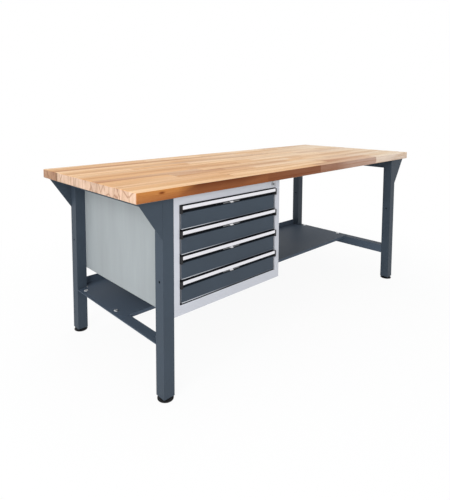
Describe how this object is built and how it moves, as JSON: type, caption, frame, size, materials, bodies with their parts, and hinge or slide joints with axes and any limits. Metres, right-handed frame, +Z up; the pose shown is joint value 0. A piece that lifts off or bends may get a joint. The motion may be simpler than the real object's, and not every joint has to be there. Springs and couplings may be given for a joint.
{
  "type": "workbench",
  "caption": "Workshop bench: glued hardwood top on welded steel end frames, with a lockable drawer cabinet hung under the left end and a rear shelf below.",
  "frame": {"origin": "on the floor under the middle of the worktop", "axes": "+X along the bench to the right, +Y to the rear, +Z up"},
  "size_m": [2.1, 0.8, 0.82],
  "materials": {
    "wood": "oiled hardwood, glued in staves",
    "dark_paint": "anthracite powder coat, fine texture",
    "pale_paint": "light grey powder coat",
    "aluminium": "satin anodised",
    "black_plastic": "moulded, slightly rough",
    "zinc_steel": "zinc plated",
    "bright_steel": "nickel plated",
    "chrome": "polished"
  },
  "bodies": {
    "bench": {"cabinet_back": "pale_paint", "cabinet_bottom": "pale_paint", "cabinet_face_frame": "pale_paint", "cabinet_left_side": "pale_paint", "cabinet_right_side": "pale_paint", "cabinet_runners": "zinc_steel", "cabinet_top": "pale_paint", "foot_inserts": "zinc_steel", "left_front_leg": "dark_paint", "left_lower_rail": "dark_paint", "left_rear_leg": "dark_paint", "left_upper_rail": "dark_paint", "leg_gussets": "dark_paint", "lock_housing": "chrome", "lower_shelf": "dark_paint", "right_front_leg": "dark_paint", "right_lower_rail": "dark_paint", "right_rear_leg": "dark_paint", "right_upper_rail": "dark_paint", "runner_posts": "pale_paint", "shelf_bolts": "zinc_steel", "worktop": "wood", "worktop_screws": "zinc_steel"},
    "drawer_1": {"drawer_1_tray": "pale_paint", "drawer_1_front": "dark_paint", "drawer_1_handle": "aluminium", "drawer_1_end_caps": "black_plastic", "drawer_1_runners": "zinc_steel"},
    "drawer_1_slides": {"drawer_1_middle_runners": "zinc_steel"},
    "drawer_1_latch": {"drawer_1_catch": "bright_steel"},
    "drawer_2": {"drawer_2_tray": "pale_paint", "drawer_2_front": "dark_paint", "drawer_2_handle": "aluminium", "drawer_2_end_caps": "black_plastic", "drawer_2_runners": "zinc_steel"},
    "drawer_2_slides": {"drawer_2_middle_runners": "zinc_steel"},
    "drawer_2_latch": {"drawer_2_catch": "bright_steel"},
    "drawer_3": {"drawer_3_tray": "pale_paint", "drawer_3_front": "dark_paint", "drawer_3_handle": "aluminium", "drawer_3_end_caps": "black_plastic", "drawer_3_runners": "zinc_steel"},
    "drawer_3_slides": {"drawer_3_middle_runners": "zinc_steel"},
    "drawer_3_latch": {"drawer_3_catch": "bright_steel"},
    "drawer_4": {"drawer_4_tray": "pale_paint", "drawer_4_front": "dark_paint", "drawer_4_handle": "aluminium", "drawer_4_end_caps": "black_plastic", "drawer_4_runners": "zinc_steel"},
    "drawer_4_slides": {"drawer_4_middle_runners": "zinc_steel"},
    "drawer_4_latch": {"drawer_4_catch": "bright_steel"},
    "lock_cylinder": {"lock_plug": "chrome", "lock_cam": "zinc_steel", "lock_key": "bright_steel"},
    "locking_bar": {"lock_bar": "zinc_steel"},
    "left_front_foot_screw": {"left_front_foot": "black_plastic"},
    "left_rear_foot_screw": {"left_rear_foot": "black_plastic"},
    "right_front_foot_screw": {"right_front_foot": "black_plastic"},
    "right_rear_foot_screw": {"right_rear_foot": "black_plastic"}
  },
  "joints": [
    {"name": "drawer_1_travel", "type": "slide", "parent": "bench", "child": "drawer_1", "axis": [0, -1, 0], "range_m": [0, 0.56]},
    {"name": "drawer_1_slides_travel", "type": "slide", "parent": "bench", "child": "drawer_1_slides", "axis": [0, -1, 0], "range_m": [0, 0.281]},
    {"name": "drawer_1_latch_squeeze", "type": "hinge", "parent": "drawer_1", "child": "drawer_1_latch", "pos_m": [-0.565, -0.374, 0.7365], "axis": [-1, 0, 0], "range_deg": [0, 12], "stiffness_Nm_per_rad": 0.3},
    {"name": "drawer_2_travel", "type": "slide", "parent": "bench", "child": "drawer_2", "axis": [0, -1, 0], "range_m": [0, 0.56]},
    {"name": "drawer_2_slides_travel", "type": "slide", "parent": "bench", "child": "drawer_2_slides", "axis": [0, -1, 0], "range_m": [0, 0.281]},
    {"name": "drawer_2_latch_squeeze", "type": "hinge", "parent": "drawer_2", "child": "drawer_2_latch", "pos_m": [-0.565, -0.374, 0.6395], "axis": [-1, 0, 0], "range_deg": [0, 12], "stiffness_Nm_per_rad": 0.3},
    {"name": "drawer_3_travel", "type": "slide", "parent": "bench", "child": "drawer_3", "axis": [0, -1, 0], "range_m": [0, 0.56]},
    {"name": "drawer_3_slides_travel", "type": "slide", "parent": "bench", "child": "drawer_3_slides", "axis": [0, -1, 0], "range_m": [0, 0.281]},
    {"name": "drawer_3_latch_squeeze", "type": "hinge", "parent": "drawer_3", "child": "drawer_3_latch", "pos_m": [-0.565, -0.374, 0.5425], "axis": [-1, 0, 0], "range_deg": [0, 12], "stiffness_Nm_per_rad": 0.3},
    {"name": "drawer_4_travel", "type": "slide", "parent": "bench", "child": "drawer_4", "axis": [0, -1, 0], "range_m": [0, 0.56]},
    {"name": "drawer_4_slides_travel", "type": "slide", "parent": "bench", "child": "drawer_4_slides", "axis": [0, -1, 0], "range_m": [0, 0.281]},
    {"name": "drawer_4_latch_squeeze", "type": "hinge", "parent": "drawer_4", "child": "drawer_4_latch", "pos_m": [-0.565, -0.374, 0.4455], "axis": [-1, 0, 0], "range_deg": [0, 12], "stiffness_Nm_per_rad": 0.3},
    {"name": "locking_bar_drop", "type": "slide", "parent": "bench", "child": "locking_bar", "axis": [0, 0, -1], "range_m": [0, 0.01]},
    {"name": "lock_turn", "type": "hinge", "parent": "bench", "child": "lock_cylinder", "pos_m": [-0.303, -0.38, 0.763], "axis": [0, 1, 0], "range_deg": [0, 90.5]},
    {"name": "left_front_foot_level", "type": "slide", "parent": "bench", "child": "left_front_foot_screw", "axis": [0, 0, 1], "range_m": [-0.025, 0]},
    {"name": "left_rear_foot_level", "type": "slide", "parent": "bench", "child": "left_rear_foot_screw", "axis": [0, 0, 1], "range_m": [-0.025, 0]},
    {"name": "right_front_foot_level", "type": "slide", "parent": "bench", "child": "right_front_foot_screw", "axis": [0, 0, 1], "range_m": [-0.025, 0]},
    {"name": "right_rear_foot_level", "type": "slide", "parent": "bench", "child": "right_rear_foot_screw", "axis": [0, 0, 1], "range_m": [-0.025, 0]}
  ],
  "couplings": [
    {"joint": "drawer_1_slides_travel", "follows": "drawer_1_travel", "ratio": 0.5},
    {"joint": "drawer_2_slides_travel", "follows": "drawer_2_travel", "ratio": 0.5},
    {"joint": "drawer_3_slides_travel", "follows": "drawer_3_travel", "ratio": 0.5},
    {"joint": "drawer_4_slides_travel", "follows": "drawer_4_travel", "ratio": 0.5},
    {"joint": "lock_turn", "follows": "locking_bar_drop", "rad_per_m": 157.08}
  ]
}
